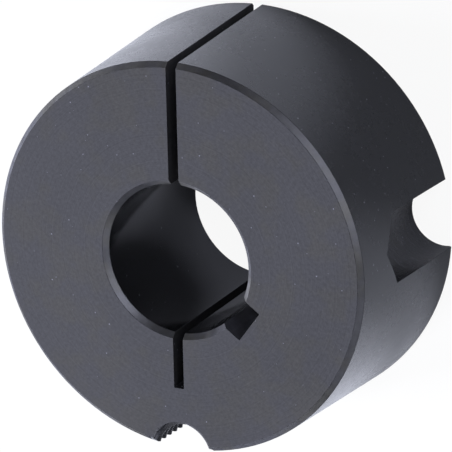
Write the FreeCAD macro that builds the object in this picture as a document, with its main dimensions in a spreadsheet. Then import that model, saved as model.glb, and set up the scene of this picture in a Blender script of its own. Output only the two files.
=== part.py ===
import FreeCAD, Part
import Sketcher
import os

# Split tapered shaft bushing, in millimetres and degrees. The bush stands on its large end: its
# axis is Z, the origin is the centre of the large end face and the keyway lies along +X.
# Directions are counted counterclockwise from +X, seen from the small end.

NODE = "bushing"

SIZES = {
    # turned body
    "large_end_diameter": 57.15,
    "body_length": 25.4,
    "taper_half_angle": 4.0,
    "bore_diameter": 20.64,
    "small_end_chamfer": 0.65,
    "large_end_chamfer": 0.4,
    "bore_lead_chamfer": 0.7,
    # saw cuts: one right through the wall, and opposite it a relief slit, deep from the bore wall
    "split_width": 1.45,
    "split_direction": 125.9,
    "slit_width": 1.45,
    "slit_depth": 7.68,
    # keyway, deep from the bore wall
    "keyway_width": 5.05,
    "keyway_depth": 2.78,
    # half-holes in the rim, their centres this far inside the edge of the large end
    "hole_inset": 1.125,
    "lock_hole_diameter": 9.5,
    "lock_hole_depth": 15.7,
    "lock_hole_direction": 41.2,
    "lock_hole_count": 2,
    "drill_point_angle": 118.0,
    "jack_hole_diameter": 9.525,
    # how far the split's outline runs past the surface that it opens through
    "cut_overrun": 2.0,
}

BORE_RADIUS = "Sizes.bore_diameter / 2"
RIM_RADIUS = "Sizes.large_end_diameter / 2"
HOLE_CIRCLE_RADIUS = "Sizes.large_end_diameter / 2 - Sizes.hole_inset"
OPPOSITE_THE_SPLIT = "Sizes.split_direction + 180"

# A rim counts as found when its radius and height are this close.
RIM_TOLERANCE = 0.001
# Least volume that a cut has to remove.
LEAST_CUT = 1.0
FULL_TURN = 360
# Angle in radians at which the taper's slope is drawn, before the sheet sets it.
SLOPE_AS_DRAWN = 1.6

doc = FreeCAD.newDocument("TaperBushing")


def make_sheet():
    sheet = doc.addObject("Spreadsheet::Sheet", "Sizes")
    for row, (name, value) in enumerate(SIZES.items(), start=1):
        sheet.set("A%d" % row, name)
        sheet.set("B%d" % row, str(value))
        sheet.setAlias("B%d" % row, name)
    doc.recompute()
    return sheet


def origin_feature(body, role):
    for feature in body.Origin.OriginFeatures:
        if feature.Role == role:
            return feature
    raise RuntimeError("no origin feature " + role)


def new_sketch(body, name, role, direction=None):
    """Sketch on an origin plane of the body, turned about the bush's axis to a direction."""
    sketch = body.newObject("Sketcher::SketchObject", name)
    sketch.AttachmentSupport = [(origin_feature(body, role), "")]
    sketch.MapMode = "FlatFace"
    if direction is not None:
        upright = FreeCAD.Rotation(FreeCAD.Vector(0, 0, 1), 0)
        sketch.AttachmentOffset = FreeCAD.Placement(FreeCAD.Vector(), upright)
        sketch.setExpression("AttachmentOffset.Rotation.Angle", "(%s) * 1 deg" % direction)
    return sketch


def drive(sketch, expression, *constraint):
    """Adds a dimension to the sketch and binds it to the sheet."""
    index = sketch.addConstraint(Sketcher.Constraint(*constraint))
    sketch.setExpression("Constraints[%d]" % index, expression)


def draw_polygon(sketch, corners):
    """Closed outline through the corners; side i runs from corner i to the next one."""
    for start, end in zip(corners, corners[1:] + corners[:1]):
        side = Part.LineSegment(FreeCAD.Vector(*start, 0), FreeCAD.Vector(*end, 0))
        sketch.addGeometry(side, False)
    for side in range(len(corners)):
        following = (side + 1) % len(corners)
        sketch.addConstraint(Sketcher.Constraint("Coincident", side, 2, following, 1))


def draw_half_section(sketch, sheet):
    """Half of the turned body's section: large end face, taper, small end face and bore."""
    bore = sheet.bore_diameter / 2
    rim = sheet.large_end_diameter / 2
    top = sheet.body_length
    draw_polygon(sketch, [(bore, 0), (rim, 0), ((bore + rim) / 2, top), (bore, top)])
    face, taper, small_face, wall = range(4)
    sketch.addConstraint(Sketcher.Constraint("Horizontal", face))
    sketch.addConstraint(Sketcher.Constraint("Horizontal", small_face))
    sketch.addConstraint(Sketcher.Constraint("Vertical", wall))
    sketch.addConstraint(Sketcher.Constraint("PointOnObject", face, 1, -1))
    drive(sketch, BORE_RADIUS, "DistanceX", -1, 1, face, 1, bore)
    drive(sketch, RIM_RADIUS, "DistanceX", -1, 1, face, 2, rim)
    drive(sketch, "Sizes.body_length", "DistanceY", -1, 1, taper, 2, top)
    drive(sketch, "90 deg + Sizes.taper_half_angle * 1 deg", "Angle", taper, SLOPE_AS_DRAWN)


def draw_slot(sketch, width, reach, width_now, reach_now):
    """Slot centred on the sketch's X axis, from the bush's axis out to the given reach."""
    half = width_now / 2
    draw_polygon(sketch, [(0, -half), (reach_now, -half), (reach_now, half), (0, half)])
    lower, end, upper = range(3)
    for side in (lower, upper):
        sketch.addConstraint(Sketcher.Constraint("Horizontal", side))
    sketch.addConstraint(Sketcher.Constraint("Vertical", end))
    sketch.addConstraint(Sketcher.Constraint("PointOnObject", lower, 1, -2))
    sketch.addConstraint(Sketcher.Constraint("Symmetric", lower, 1, upper, 2, -1))
    drive(sketch, width, "DistanceY", lower, 1, upper, 2, width_now)
    drive(sketch, reach, "DistanceX", -1, 1, lower, 2, reach_now)


def draw_rim_circle(sketch, diameter, sheet, diameter_now):
    """Circle on the sketch's X axis, at the radius of the half-holes' centres."""
    reach = sheet.large_end_diameter / 2 - sheet.hole_inset
    circle = Part.Circle(FreeCAD.Vector(reach, 0, 0), FreeCAD.Vector(0, 0, 1), diameter_now / 2)
    sketch.addGeometry(circle, False)
    sketch.addConstraint(Sketcher.Constraint("PointOnObject", 0, 3, -1))
    drive(sketch, HOLE_CIRCLE_RADIUS, "DistanceX", -1, 1, 0, 3, reach)
    drive(sketch, diameter, "Diameter", 0, diameter_now)


def rim_name(shape, radius, height):
    """Name of the circular edge with this radius at this height."""
    for number, edge in enumerate(shape.Edges, start=1):
        curve = edge.Curve
        if not isinstance(curve, Part.Circle):
            continue
        same_radius = abs(curve.Radius - radius) < RIM_TOLERANCE
        if same_radius and abs(curve.Center.z - height) < RIM_TOLERANCE:
            return "Edge%d" % number
    raise RuntimeError("no rim of radius %.3f at height %.3f" % (radius, height))


def chamfer_rim(body, name, radius, height, size):
    """Equal chamfer on one rim of the turned body."""
    base = body.Tip
    chamfer = body.newObject("PartDesign::Chamfer", name)
    chamfer.Base = (base, [rim_name(base.Shape, radius, height)])
    chamfer.setExpression("Size", size)
    doc.recompute()
    return chamfer


def require_cut(feature, volume_before):
    removed = volume_before - feature.Shape.Volume
    if removed < LEAST_CUT:
        raise RuntimeError("%s removes only %.3f mm3" % (feature.Name, removed))


def cut_through(body, name, sketch):
    """Cuts the sketch's outline upwards through the whole length."""
    volume = body.Tip.Shape.Volume
    pocket = body.newObject("PartDesign::Pocket", name)
    pocket.Profile = sketch
    pocket.Type = "ThroughAll"
    pocket.Reversed = True
    doc.recompute()
    require_cut(pocket, volume)
    return pocket


def drill(body, name, sketch, diameter, depth=None):
    """Drills upwards from the large end: blind with a drill point, or through without a depth."""
    volume = body.Tip.Shape.Volume
    hole = body.newObject("PartDesign::Hole", name)
    hole.Profile = sketch
    doc.recompute()
    hole.Reversed = True
    hole.ThreadType = "None"
    hole.HoleCutType = "None"
    hole.setExpression("Diameter", diameter)
    if depth is None:
        hole.DepthType = "ThroughAll"
        hole.DrillPoint = "Flat"
    else:
        hole.DepthType = "Dimension"
        hole.DrillPoint = "Angled"
        hole.DrillForDepth = False
        hole.setExpression("DrillPointAngle", "Sizes.drill_point_angle * 1 deg")
        hole.setExpression("Depth", depth)
    doc.recompute()
    require_cut(hole, volume)
    return hole


def repeat_round_axis(body, name, feature, sketch, count):
    """Repeats a feature evenly round the bush's axis."""
    volume = feature.Shape.Volume
    pattern = body.newObject("PartDesign::PolarPattern", name)
    pattern.Originals = [feature]
    pattern.Axis = (sketch, ["N_Axis"])
    pattern.Angle = FULL_TURN
    pattern.setExpression("Occurrences", count)
    body.Tip = pattern
    doc.recompute()
    require_cut(pattern, volume)
    return pattern


def turn_body(body, sheet):
    """Tapered ring with its outer rims broken and a lead-in at the bore's small end."""
    section = new_sketch(body, "HalfSection", "XZ_Plane")
    draw_half_section(section, sheet)
    turned = body.newObject("PartDesign::Revolution", "TurnedBody")
    turned.Profile = section
    turned.ReferenceAxis = (section, ["V_Axis"])
    turned.Angle = FULL_TURN
    doc.recompute()
    large_rim = sheet.large_end_diameter / 2
    bore = sheet.bore_diameter / 2
    top = sheet.body_length
    small_rim = max(
        edge.Curve.Radius
        for edge in turned.Shape.Edges
        if isinstance(edge.Curve, Part.Circle) and abs(edge.Curve.Center.z - top) < RIM_TOLERANCE
    )
    chamfer_rim(body, "SmallEndChamfer", small_rim, top, "Sizes.small_end_chamfer")
    chamfer_rim(body, "LargeEndChamfer", large_rim, 0, "Sizes.large_end_chamfer")
    chamfer_rim(body, "BoreLead", bore, top, "Sizes.bore_lead_chamfer")


def saw_split(body, sheet):
    """The cut through the wall, which lets the bush close, and the relief slit opposite."""
    sketch = new_sketch(body, "SplitOutline", "XY_Plane", "Sizes.split_direction")
    reach_now = sheet.large_end_diameter / 2 + sheet.cut_overrun
    reach = RIM_RADIUS + " + Sizes.cut_overrun"
    draw_slot(sketch, "Sizes.split_width", reach, sheet.split_width, reach_now)
    cut_through(body, "Split", sketch)

    sketch = new_sketch(body, "SlitOutline", "XY_Plane", OPPOSITE_THE_SPLIT)
    reach_now = sheet.bore_diameter / 2 + sheet.slit_depth
    reach = BORE_RADIUS + " + Sizes.slit_depth"
    draw_slot(sketch, "Sizes.slit_width", reach, sheet.slit_width, reach_now)
    cut_through(body, "ReliefSlit", sketch)


def broach_keyway(body, sheet):
    """Square-cornered key seat along +X through the bore's whole length."""
    sketch = new_sketch(body, "KeywayOutline", "XY_Plane")
    reach_now = sheet.bore_diameter / 2 + sheet.keyway_depth
    reach = BORE_RADIUS + " + Sizes.keyway_depth"
    draw_slot(sketch, "Sizes.keyway_width", reach, sheet.keyway_width, reach_now)
    cut_through(body, "Keyway", sketch)


def drill_rim(body, sheet):
    """Half-holes that break out through the taper: a jacking hole right through, opposite the
    split, and blind locking holes with drill points, open at the large end."""
    sketch = new_sketch(body, "JackHoleCircle", "XY_Plane", OPPOSITE_THE_SPLIT)
    draw_rim_circle(sketch, "Sizes.jack_hole_diameter", sheet, sheet.jack_hole_diameter)
    drill(body, "JackHole", sketch, "Sizes.jack_hole_diameter")

    sketch = new_sketch(body, "LockHoleCircle", "XY_Plane", "Sizes.lock_hole_direction")
    draw_rim_circle(sketch, "Sizes.lock_hole_diameter", sheet, sheet.lock_hole_diameter)
    lock_hole = drill(body, "LockHole", sketch, "Sizes.lock_hole_diameter", "Sizes.lock_hole_depth")
    repeat_round_axis(body, "LockHoles", lock_hole, sketch, "Sizes.lock_hole_count")


def check_and_export(body):
    for item in doc.Objects:
        if "Invalid" in item.State or "Error" in item.State:
            raise RuntimeError("%s failed: %s" % (item.Name, item.State))
    shape = body.Shape
    if shape.isNull() or not shape.isValid() or len(shape.Solids) != 1:
        raise RuntimeError(body.Label + " is not one valid solid")
    os.makedirs("parts", exist_ok=True)
    shape.exportStep("parts/%s.step" % body.Label)
    print("%s: volume %.2f mm3, area %.2f mm2" % (body.Label, shape.Volume, shape.Area))


sheet = make_sheet()
bush = doc.addObject("PartDesign::Body", "Bushing")
bush.Label = NODE
turn_body(bush, sheet)
saw_split(bush, sheet)
broach_keyway(bush, sheet)
drill_rim(bush, sheet)
bush.Placement = FreeCAD.Placement()
doc.recompute()
check_and_export(bush)
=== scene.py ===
import math

import bmesh
import bpy
from mathutils import Matrix, Vector


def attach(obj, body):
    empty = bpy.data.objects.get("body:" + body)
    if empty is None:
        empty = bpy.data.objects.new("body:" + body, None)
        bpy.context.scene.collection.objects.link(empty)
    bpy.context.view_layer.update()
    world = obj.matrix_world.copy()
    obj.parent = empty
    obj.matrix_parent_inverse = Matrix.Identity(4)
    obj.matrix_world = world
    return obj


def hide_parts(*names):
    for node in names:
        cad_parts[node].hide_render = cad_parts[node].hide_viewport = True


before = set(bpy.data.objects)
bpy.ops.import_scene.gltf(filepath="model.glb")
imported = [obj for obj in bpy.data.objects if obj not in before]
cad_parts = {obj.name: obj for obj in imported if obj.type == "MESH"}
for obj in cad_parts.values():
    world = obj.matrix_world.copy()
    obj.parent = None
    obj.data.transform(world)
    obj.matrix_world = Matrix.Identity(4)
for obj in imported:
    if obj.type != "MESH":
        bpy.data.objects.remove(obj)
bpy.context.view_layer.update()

scene = bpy.context.scene
scene.view_settings.view_transform = "Standard"

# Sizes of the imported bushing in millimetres, axis on +Z, keyway on +X.
MM = 0.001
LENGTH = 25.4
LARGE_RADIUS = 28.575
TAPER = math.tan(math.radians(4.0))
BORE_RADIUS = 10.32
CHAMFER = 0.65
LARGE_CHAMFER = 0.4
HOLE_CIRCLE_RADIUS = 27.45
LOCK_RADIUS = 4.75
LOCK_DIRECTIONS = (41.2, 221.2)
JACK_RADIUS = 4.7625
JACK_DIRECTION = 305.9

# Names of the surface zones, in the order of the body's material slots.
ZONES = ("faced", "tapered", "chamfered", "bored", "bore_lead",
         "sawn", "broached", "drilled", "edge")


def polar(radius, degrees, z=0.0):
    """A point or direction from its cylinder coordinates."""
    a = math.radians(degrees)
    return Vector((radius * math.cos(a), radius * math.sin(a), z))


def taper_radius(z):
    return LARGE_RADIUS - z * TAPER


# ---------------------------------------------------------------- materials

class Graph:
    """A material's or world's node tree, built by short calls."""

    def __init__(self, owner):
        owner.use_nodes = True
        self.tree = owner.node_tree
        self.tree.nodes.clear()

    def add(self, kind, inputs=None, **settings):
        node = self.tree.nodes.new(kind)
        for key, value in settings.items():
            setattr(node, key, value)
        for key, value in (inputs or {}).items():
            self.feed(node.inputs[key], value)
        return node

    def feed(self, socket, value):
        if isinstance(value, bpy.types.NodeSocket):
            self.tree.links.new(value, socket)
        else:
            socket.default_value = value

    def math(self, operation, a, b):
        return self.add("ShaderNodeMath", {0: a, 1: b}, operation=operation).outputs[0]

    def spread(self, value, low, high, to_low=0.0, to_high=1.0):
        """Map the span low..high of a value to to_low..to_high and hold it at the ends."""
        inputs = {"Value": value, "From Min": low, "From Max": high,
                  "To Min": to_low, "To Max": to_high}
        return self.add("ShaderNodeMapRange", inputs).outputs["Result"]

    def blend(self, a, share_a, b, share_b):
        """Weighted sum of two values."""
        a, b = self.math("MULTIPLY", a, share_a), self.math("MULTIPLY", b, share_b)
        return self.math("ADD", a, b)

    def noise(self, vector, scale, detail=3.0, rough=0.55, dimensions="3D"):
        inputs = {"Scale": scale, "Detail": detail, "Roughness": rough}
        inputs["W" if dimensions == "1D" else "Vector"] = vector
        return self.add("ShaderNodeTexNoise", inputs, noise_dimensions=dimensions).outputs[0]

    def mix(self, factor, a, b):
        """Mix two colours. The node's colour inputs are 6 and 7, its colour output is 2."""
        return self.add("ShaderNodeMix", {0: factor, 6: a, 7: b}, data_type="RGBA").outputs[2]

    def bump(self, height, distance, normal=None):
        inputs = {"Height": height, "Distance": distance}
        if normal is not None:
            inputs["Normal"] = normal
        return self.add("ShaderNodeBump", inputs).outputs[0]


def colour(r, g, b):
    return (r, g, b, 1.0)


# How the black finish varies: the shares of fine and broad noise in the tone and in the
# roughness, and the spans of noise that are stretched to the full range of tone, of brown
# patches and of roughness.
BROAD_SHARE = 0.25
TONE_SPAN = (0.38, 0.62)
BROWN_SCALE = 210.0
BROWN_SPAN = (0.46, 0.60)
BROWN_FACTORS = (1.05, 1.03, 0.93)
ROUGH_FINE_SHARE = 0.4
ROUGH_BROAD_SHARE = 0.6
ROUGH_SPAN = (0.35, 0.65)

# Turned marks waver a little, in metres. Drill streaks run along the axis.
WAVER_SCALE = 260.0
WAVER = 0.0006
STREAK_SQUEEZE = (0.10, 0.10, 1.0)

SPECK = colour(0.17, 0.17, 0.20)
CLEAR_GRAZE = colour(0.93, 0.94, 1.0)
DARK_GRAZE = colour(0.10, 0.10, 0.11)


def browned(base):
    """The same tone where the black finish has turned slightly brown."""
    red, green, blue = (value * factor for value, factor in zip(base, BROWN_FACTORS))
    return colour(red, green, blue)


def specks(g, position, scale, share, size):
    """Sparse round dots, such as dust and bright nicks: 1 in a dot, 0 elsewhere."""
    cells = g.add("ShaderNodeTexVoronoi", {"Vector": position, "Scale": scale, "Randomness": 1.0})
    pick = g.add("ShaderNodeSeparateColor", {0: cells.outputs["Color"]})
    chosen = g.math("GREATER_THAN", pick.outputs[0], 1.0 - share)
    reach = g.math("MULTIPLY", pick.outputs[1], size)
    near = g.math("LESS_THAN", cells.outputs["Distance"], reach)
    return g.math("MULTIPLY", chosen, near)


def tool_marks(g, position, marks, scale):
    """Noise lines left by the tool, across the radius, the height or x, or streaks along z."""
    if marks == "streaks":
        inputs = {0: position, 1: STREAK_SQUEEZE}
        squeezed = g.add("ShaderNodeVectorMath", inputs, operation="MULTIPLY")
        return g.noise(squeezed.outputs["Vector"], scale, detail=4.0, rough=0.7)
    xyz = g.add("ShaderNodeSeparateXYZ", {0: position})
    flat = g.add("ShaderNodeCombineXYZ", {0: xyz.outputs[0], 1: xyz.outputs[1]})
    radius = g.add("ShaderNodeVectorMath", {0: flat.outputs[0]}, operation="LENGTH")
    along = {"radius": radius.outputs["Value"], "height": xyz.outputs[2], "x": xyz.outputs[0]}
    waver = g.math("MULTIPLY", g.noise(position, WAVER_SCALE, detail=2.0), WAVER)
    place = g.math("ADD", along[marks], waver)
    return g.noise(place, scale, detail=4.0, rough=0.6, dimensions="1D")


def metal(name, dark, light, rough, marks, mark_scale, mark_depth, mark_share=0.2, speck=SPECK,
          grain=(2600.0, 1.2e-6), mottle=900.0, dust=(1100.0, 0.45, 0.11), ior=1.5, blotch=70.0,
          metallic=0.0, graze=CLEAR_GRAZE):
    """Blackened iron between two tones and two roughnesses.

    marks, mark_scale, mark_depth and mark_share say how the tool marks run, how fine and how
    deep they are and how much they show in the tone. grain is the scale and depth of the cast
    grain. mottle and blotch are the scales of fine and broad changes, dust is scale, share and
    size of the specks. metallic 1 is a bare, darkly oxidised cut, whose mirroring at a grazing
    view is tinted by graze.
    """
    mat = bpy.data.materials.new(name)
    g = Graph(mat)
    position = g.add("ShaderNodeTexCoord").outputs["Object"]
    lines = tool_marks(g, position, marks, mark_scale)
    fine = g.noise(position, mottle, detail=5.0, rough=0.7)
    broad = g.noise(position, blotch, detail=3.0, rough=0.5)
    tone = g.blend(fine, 1.0 - BROAD_SHARE - mark_share, lines, mark_share)
    tone = g.math("ADD", tone, g.math("MULTIPLY", broad, BROAD_SHARE))
    tone = g.spread(tone, *TONE_SPAN)
    brown_share = g.spread(g.noise(position, BROWN_SCALE), *BROWN_SPAN)
    base = g.mix(brown_share, g.mix(tone, dark, light), g.mix(tone, browned(dark), browned(light)))
    base = g.mix(specks(g, position, *dust), base, speck)
    roughness = g.spread(g.blend(fine, ROUGH_FINE_SHARE, broad, ROUGH_BROAD_SHARE),
                         *ROUGH_SPAN, *rough)
    normal = g.bump(g.noise(position, grain[0], detail=2.0), grain[1])
    normal = g.bump(lines, mark_depth, normal)
    inputs = {"Base Color": base, "Roughness": roughness, "IOR": ior, "Normal": normal,
              "Metallic": metallic, "Specular Tint": graze}
    shader = g.add("ShaderNodeBsdfPrincipled", inputs)
    g.add("ShaderNodeOutputMaterial", {0: shader.outputs[0]})
    return mat


def body_materials():
    """One finish for each zone, in the order of ZONES."""
    made = {
        "faced": metal(
            "faced_iron", colour(0.035, 0.0345, 0.0375), colour(0.056, 0.055, 0.0600),
            (0.55, 0.67), "radius", 5200.0, 1.4e-6, 0.22, mottle=2200.0, ior=1.22),
        "tapered": metal(
            "turned_taper", colour(0.004, 0.0042, 0.005), colour(0.009, 0.0094, 0.011),
            (0.22, 0.32), "height", 6000.0, 0.8e-6, speck=colour(0.17, 0.17, 0.19),
            dust=(1300.0, 0.5, 0.14), ior=1.52),
        "chamfered": metal(
            "turned_chamfer", colour(0.165, 0.165, 0.176), colour(0.215, 0.215, 0.230),
            (0.36, 0.46), "height", 9000.0, 1.0e-6, metallic=1.0, graze=DARK_GRAZE),
        "bored": metal(
            "bored_wall", colour(0.002, 0.002, 0.0025), colour(0.006, 0.006, 0.0075),
            (0.12, 0.18), "height", 4200.0, 0.6e-6, ior=2.2),
        "bore_lead": metal(
            "bore_lead", colour(0.190, 0.190, 0.204), colour(0.250, 0.250, 0.268),
            (0.34, 0.46), "height", 9000.0, 1.0e-6, metallic=1.0, graze=DARK_GRAZE),
        "sawn": metal(
            "sawn_cut", colour(0.016, 0.016, 0.018), colour(0.036, 0.035, 0.036),
            (0.5, 0.7), "radius", 2400.0, 6.0e-6, ior=1.35),
        "broached": metal(
            "broached_keyway", colour(0.034, 0.034, 0.039), colour(0.066, 0.066, 0.076),
            (0.4, 0.55), "x", 3600.0, 3.0e-6),
        "drilled": metal(
            "drilled_wall", colour(0.002, 0.002, 0.0025), colour(0.058, 0.058, 0.067),
            (0.20, 0.34), "streaks", 3000.0, 2.2e-5, 0.6, ior=1.55),
        "edge": metal(
            "rubbed_edge", colour(0.030, 0.030, 0.033), colour(0.085, 0.085, 0.093),
            (0.50, 0.62), "height", 3000.0, 1.0e-6, mottle=1400.0, ior=1.12),
    }
    return [made[zone] for zone in ZONES]


# ---------------------------------------------------------------- the body

# Rounding of the sharp edges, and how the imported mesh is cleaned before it: facet corners
# nearer than WELD join, and facets that bend less than FLAT_DEGREES become one. Lengths are
# in millimetres.
EDGE_ROUND = 0.04
WELD = 0.06
FLAT_DEGREES = 0.6
SHARP_DEGREES = 30.0

# Edges within this distance of the jacking half-hole's wall stay sharp: the thread covers them.
JACK_EDGE_SLACK = 0.1

# Limits that tell the zones apart: parts of a unit normal, and places in millimetres.
END_NORMAL = 0.99
TAPER_NORMAL = 0.9
CHAMFER_NORMAL = 0.5
BORE_NORMAL = 0.97
OUTER_FROM = 25.5
INNER_TO = 11.5
BORE_SLACK = 0.15
HOLE_SLACK = 0.05
KEYWAY_FROM = BORE_RADIUS - 0.6
KEYWAY_HALF_WIDTH = 2.6

# Drilled facets are blended where the cosine between their normals is above this.
SAME_WALL = 0.8


def hole_centres():
    return [polar(HOLE_CIRCLE_RADIUS, d) for d in LOCK_DIRECTIONS + (JACK_DIRECTION,)]


def zone_of(centre, normal, centres):
    """The surface zone of a face, from its centre in millimetres and its normal."""
    radius = math.hypot(centre.x, centre.y)
    outward = (normal.x * centre.x + normal.y * centre.y) / radius
    sloped = abs(normal.z) > CHAMFER_NORMAL
    if abs(normal.z) > END_NORMAL:
        return "faced"
    if radius > OUTER_FROM and outward > TAPER_NORMAL:
        return "tapered"
    if sloped and radius > OUTER_FROM and outward > CHAMFER_NORMAL:
        return "chamfered"
    if sloped and radius < INNER_TO and outward < -CHAMFER_NORMAL:
        return "bore_lead"
    if outward < -BORE_NORMAL and abs(radius - BORE_RADIUS) < BORE_SLACK:
        return "bored"
    for hole in centres:
        if math.hypot(centre.x - hole.x, centre.y - hole.y) < LOCK_RADIUS + HOLE_SLACK:
            return "drilled"
    if centre.x > KEYWAY_FROM and abs(centre.y) < KEYWAY_HALF_WIDTH:
        return "broached"
    return "sawn"


def true_normal(zone, co, face_normal):
    """The exact normal of a turned surface at a vertex, or else the facet's."""
    radial = Vector((co.x, co.y, 0.0)).normalized()
    if zone == "tapered":
        return (radial + Vector((0.0, 0.0, TAPER))).normalized()
    if zone == "bored":
        return -radial
    if zone in ("chamfered", "bore_lead"):
        side = 1.0 if zone == "chamfered" else -1.0
        end = Vector((0.0, 0.0, math.copysign(1.0, face_normal.z)))
        return (radial * side + end).normalized()
    return face_normal.copy()


def shade(mesh):
    """Give every corner its normal.

    Turned surfaces get their exact one and flat cuts the facet's. Drilled walls are blended
    within one wall. A rounded edge takes over the normals of the surfaces that it joins.
    """
    rounded = ZONES.index("edge")
    drilled = ZONES.index("drilled")
    holds = {}
    for face in mesh.polygons:
        face.use_smooth = True
        if face.material_index == rounded:
            continue
        for v in face.vertices:
            normal = true_normal(ZONES[face.material_index], mesh.vertices[v].co, face.normal)
            holds.setdefault(v, []).append((normal, face.area, face.material_index))
    normals = []
    for face in mesh.polygons:
        for v in face.vertices:
            kept = holds.get(v, ())
            if face.material_index == drilled:
                kept = [held for held in kept
                        if held[2] == drilled and held[0].dot(face.normal) > SAME_WALL]
            if face.material_index in (rounded, drilled) and kept:
                total = sum((normal * area for normal, area, _ in kept), Vector())
            elif face.material_index == rounded:
                total = mesh.vertices[v].normal.copy()
            else:
                total = true_normal(ZONES[face.material_index], mesh.vertices[v].co, face.normal)
            normals.append(total.normalized())
    mesh.normals_split_custom_set(normals)


def make_body(node, materials):
    """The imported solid's mesh with its zones, rounded edges and exact normals."""
    bm = bmesh.new()
    bm.from_mesh(node.data)
    bmesh.ops.remove_doubles(bm, verts=bm.verts[:], dist=WELD * MM)
    bmesh.ops.dissolve_limit(bm, angle_limit=math.radians(FLAT_DEGREES),
                             verts=bm.verts[:], edges=bm.edges[:])
    bm.normal_update()
    centres = hole_centres()
    for face in bm.faces:
        zone = zone_of(face.calc_center_median() / MM, face.normal, centres)
        face.material_index = ZONES.index(zone)
    jack = polar(HOLE_CIRCLE_RADIUS, JACK_DIRECTION) * MM
    reach = (JACK_RADIUS + JACK_EDGE_SLACK) * MM
    sharp = [e for e in bm.edges if e.calc_face_angle(0.0) > math.radians(SHARP_DEGREES)
             and any((v.co - jack).xy.length > reach for v in e.verts)]
    bmesh.ops.bevel(bm, geom=sharp, offset=EDGE_ROUND * MM, offset_type="OFFSET", segments=2,
                    profile=0.5, affect="EDGES", clamp_overlap=False,
                    material=ZONES.index("edge"))
    bm.normal_update()
    mesh = bpy.data.meshes.new("bush_body")
    bm.to_mesh(mesh)
    bm.free()
    for mat in materials:
        mesh.materials.append(mat)
    shade(mesh)
    body = bpy.data.objects.new("bush_body", mesh)
    scene.collection.objects.link(body)
    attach(body, "root")
    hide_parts("bushing")


# ---------------------------------------------------------------- the jacking half-hole's thread

# Lengths in millimetres, directions in degrees about the hole's axis. The tap stood TAP_SHIFT
# aside of the hole, toward TAP_SHIFT_TOWARD, and a root reaches the face at ROOT_AT_FACE.
PITCH = 25.4 / 16.0
CREST_RADIUS = 3.94
ROOT_RADIUS = 4.72
MOUTH_RADIUS = 4.53
MOUTH_DEPTH = 0.62
TAP_SHIFT = 0.30
TAP_SHIFT_TOWARD = 90.0
ROOT_AT_FACE = 272.0

# Shares of half a pitch: the flat root, then the flank. The crest has the rest.
ROOT_SHARE = 0.14
FLANK_SHARE = 0.64

# The piece's front stands THREAD_BACK or more before the hole's wall and its back that much
# behind it. Its lips and ends stay just inside the body's surface, and a lip's angle is found
# in LIP_PASSES steps.
THREAD_BACK = 0.02
LIP_INSET = 0.004
END_INSET = 0.003
LIP_PASSES = 12

THREAD_COLUMNS = 60
ROWS_PER_PITCH = 14
THREAD_SHARP_DEGREES = 50.0

# Finishes of the thread's wall, its ends, its lips and its mouth, in the order of its slots.
THREAD_ZONES = ("sawn", "faced", "tapered", "drilled")
WALL, END, LIP, MOUTH = range(len(THREAD_ZONES))


def thread_radius(z, degrees):
    """Radius of the tapped wall about the hole's axis; 0 degrees points away from the bore."""
    phase = ((z - LENGTH) / PITCH - (degrees - ROOT_AT_FACE) / 360.0) % 1.0
    rise = 1.0 - abs(2.0 * phase - 1.0)
    rise = min(max((rise - ROOT_SHARE) / FLANK_SHARE, 0.0), 1.0)
    rise = rise * rise * (3.0 - 2.0 * rise)
    aside = TAP_SHIFT * math.cos(math.radians(degrees - TAP_SHIFT_TOWARD))
    tapped = ROOT_RADIUS - (ROOT_RADIUS - CREST_RADIUS) * rise + aside
    cone = MOUTH_RADIUS - (LENGTH - z)
    return min(max(tapped, cone), JACK_RADIUS - THREAD_BACK)


def piece_radius(z, degrees, back):
    return JACK_RADIUS + THREAD_BACK if back else thread_radius(z, degrees)


def rim_radius(z):
    """The body's outer radius with its end chamfers."""
    return min(taper_radius(z), taper_radius(LENGTH - CHAMFER) - (z - LENGTH + CHAMFER),
               taper_radius(LARGE_CHAMFER) - (LARGE_CHAMFER - z))


def opening_angle(z, radius):
    """Half of the angle that the hole is open at its outer side."""
    rim = rim_radius(z) - LIP_INSET
    sides = 2.0 * HOLE_CIRCLE_RADIUS * radius
    cosine = (rim ** 2 - HOLE_CIRCLE_RADIUS ** 2 - radius ** 2) / sides
    return math.degrees(math.acos(max(-1.0, min(1.0, cosine))))


def thread_row(z, back):
    """One row of points across the wall at height z, from one lip to the other."""
    lips = []
    for side in (1.0, -1.0):
        angle = side * 90.0
        for _ in range(LIP_PASSES):
            angle = side * opening_angle(z, piece_radius(z, angle, back))
        lips.append(angle)
    start, end = lips[0], 360.0 + lips[1]
    row = []
    for i in range(THREAD_COLUMNS + 1):
        angle = start + (end - start) * i / THREAD_COLUMNS
        spot = (polar(HOLE_CIRCLE_RADIUS, JACK_DIRECTION)
                + polar(piece_radius(z, angle, back), JACK_DIRECTION + angle))
        spot.z = min(max(z, END_INSET), LENGTH - END_INSET)
        row.append(spot * MM)
    return row


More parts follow.
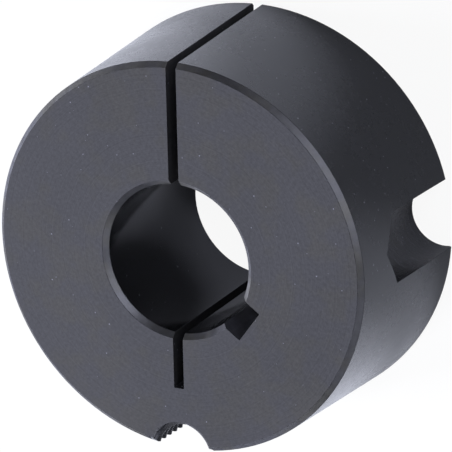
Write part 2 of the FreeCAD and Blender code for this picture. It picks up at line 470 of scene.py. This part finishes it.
def make_thread(materials):
    """A closed liner in the jacking half-hole: threaded front, plain back, lips and ends."""
    rows = round(LENGTH / PITCH * ROWS_PER_PITCH)
    bm = bmesh.new()
    front, rear = ([[bm.verts.new(co) for co in thread_row(LENGTH * k / rows, back)]
                    for k in range(rows + 1)] for back in (False, True))

    def quad(corners, slot, flip=False):
        face = bm.faces.new(corners[::-1] if flip else corners)
        face.material_index = slot
        face.smooth = slot in (WALL, MOUTH)

    for k in range(rows):
        wall = MOUTH if LENGTH * k / rows > LENGTH - MOUTH_DEPTH else WALL
        for i in range(THREAD_COLUMNS):
            quad((front[k][i], front[k][i + 1], front[k + 1][i + 1], front[k + 1][i]), wall)
            quad((rear[k][i], rear[k + 1][i], rear[k + 1][i + 1], rear[k][i + 1]), WALL)
        for i, flip in ((0, False), (THREAD_COLUMNS, True)):
            quad((front[k][i], front[k + 1][i], rear[k + 1][i], rear[k][i]), LIP, flip)
    for k, flip in ((0, True), (rows, False)):
        for i in range(THREAD_COLUMNS):
            quad((front[k][i], front[k][i + 1], rear[k][i + 1], rear[k][i]), END, flip)
    bmesh.ops.recalc_face_normals(bm, faces=bm.faces[:])
    mesh = bpy.data.meshes.new("jack_thread")
    bm.to_mesh(mesh)
    bm.free()
    for zone in THREAD_ZONES:
        mesh.materials.append(materials[ZONES.index(zone)])
    mesh.set_sharp_from_angle(angle=math.radians(THREAD_SHARP_DEGREES))
    thread = bpy.data.objects.new("jack_thread", mesh)
    scene.collection.objects.link(thread)
    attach(thread, "root")


# ---------------------------------------------------------------- floor, light, camera

# FLOOR_WHITE is how much of the floor is plain white of its own; the lamps light the rest.
# The two GLOSS values say how much of the white the part mirrors, and WORLD_STRENGTH how
# strongly the world lights it.
FLOOR_WHITE = 0.92
FLOOR_GLOSS = 0.01
FLOOR_GREY = colour(0.9, 0.9, 0.9)
FLOOR_REACH = 1.5
WORLD_STRENGTH = 0.02
WORLD_GLOSS = 0.03
WORLD_TINT = colour(0.96, 0.98, 1.0)

# Name, azimuth and elevation in degrees, distance, width and height in metres, watts.
LAMP_TINT = (0.84, 0.87, 1.0)
LAMPS = (
    ("lamp_back_left", 225.7, 25.0, 1.20, 0.50, 0.40, 28.0),
    ("lamp_back_right", 266.7, 25.0, 1.20, 0.40, 0.40, 18.0),
    ("lamp_side", 92.0, 59.0, 0.35, 0.05, 0.05, 0.22),
    ("lamp_front", 61.0, 32.0, 0.55, 0.52, 0.10, 0.42),
    ("lamp_right", -11.0, 45.0, 0.55, 0.30, 0.30, 0.52),
)

# The camera fitted to the photo: focal length and sensor in millimetres, the picture's axes
# as unit vectors in the frame, and its place in metres.
SENSOR_WIDTH = 36.0
FOCAL_LENGTH = 239.145
CLIP_START = 0.01
CAMERA_RIGHT = Vector((0.7332316, 0.50584025, -0.45441947))
CAMERA_DOWN = Vector((0.66083676, -0.68755141, 0.3009449))
CAMERA_FORWARD = Vector((-0.1602067, -0.5209594, -0.83841226))
CAMERA_SPOT = Vector((0.06473572, 0.21106393, 0.35031136))


def white_share(g, gloss_share):
    """How white the background is to a ray: fully where it is seen directly or through
    something, by gloss_share where it is mirrored, and not at all where it would light."""
    rays = g.add("ShaderNodeLightPath")
    gloss = g.math("MULTIPLY", rays.outputs["Is Glossy Ray"], gloss_share)
    both = g.math("MAXIMUM", rays.outputs["Is Camera Ray"], gloss)
    return g.math("MAXIMUM", both, rays.outputs["Is Transmission Ray"])


def make_floor():
    """A floor that is nearly white by itself and takes only a faint shadow."""
    mesh = bpy.data.meshes.new("floor")
    corners = [(x * FLOOR_REACH, y * FLOOR_REACH, 0.0)
               for x, y in ((-1, -1), (1, -1), (1, 1), (-1, 1))]
    mesh.from_pydata(corners, [], [(0, 1, 2, 3)])
    floor = bpy.data.objects.new("floor", mesh)
    scene.collection.objects.link(floor)
    mat = bpy.data.materials.new("floor")
    g = Graph(mat)
    share = g.math("MULTIPLY", white_share(g, FLOOR_GLOSS), FLOOR_WHITE)
    lit = g.add("ShaderNodeBsdfDiffuse", {"Color": FLOOR_GREY})
    glow = g.add("ShaderNodeEmission", {"Color": colour(1.0, 1.0, 1.0), "Strength": 1.0})
    both = g.add("ShaderNodeMixShader", {0: share, 1: lit.outputs[0], 2: glow.outputs[0]})
    g.add("ShaderNodeOutputMaterial", {0: both.outputs[0]})
    mesh.materials.append(mat)


def make_world():
    world = bpy.data.worlds.new("world")
    scene.world = world
    g = Graph(world)
    strength = g.spread(white_share(g, WORLD_GLOSS), 0.0, 1.0, WORLD_STRENGTH, 1.0)
    back = g.add("ShaderNodeBackground", {"Color": WORLD_TINT, "Strength": strength})
    g.add("ShaderNodeOutputWorld", {0: back.outputs[0]})


def softbox(name, azimuth, elevation, distance, width, height, watts):
    """A rectangular lamp that faces the frame's origin."""
    data = bpy.data.lights.new(name, "AREA")
    data.shape = "RECTANGLE"
    data.size = width
    data.size_y = height
    data.energy = watts
    data.color = LAMP_TINT
    lamp = bpy.data.objects.new(name, data)
    scene.collection.objects.link(lamp)
    tilt = math.radians(elevation)
    lamp.location = polar(math.cos(tilt), azimuth, math.sin(tilt)) * distance
    lamp.rotation_euler = (-lamp.location).to_track_quat("-Z", "Y").to_euler()


def make_camera():
    data = bpy.data.cameras.new("camera")
    data.sensor_fit = "HORIZONTAL"
    data.sensor_width = SENSOR_WIDTH
    data.lens = FOCAL_LENGTH
    data.clip_start = CLIP_START
    cam = bpy.data.objects.new("camera", data)
    scene.collection.objects.link(cam)
    pose = Matrix((CAMERA_RIGHT, -CAMERA_DOWN, -CAMERA_FORWARD)).transposed().to_4x4()
    pose.translation = CAMERA_SPOT
    cam.matrix_world = pose
    scene.camera = cam


materials = body_materials()
make_body(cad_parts["bushing"], materials)
make_thread(materials)
make_floor()
make_world()
for lamp in LAMPS:
    softbox(*lamp)
make_camera()
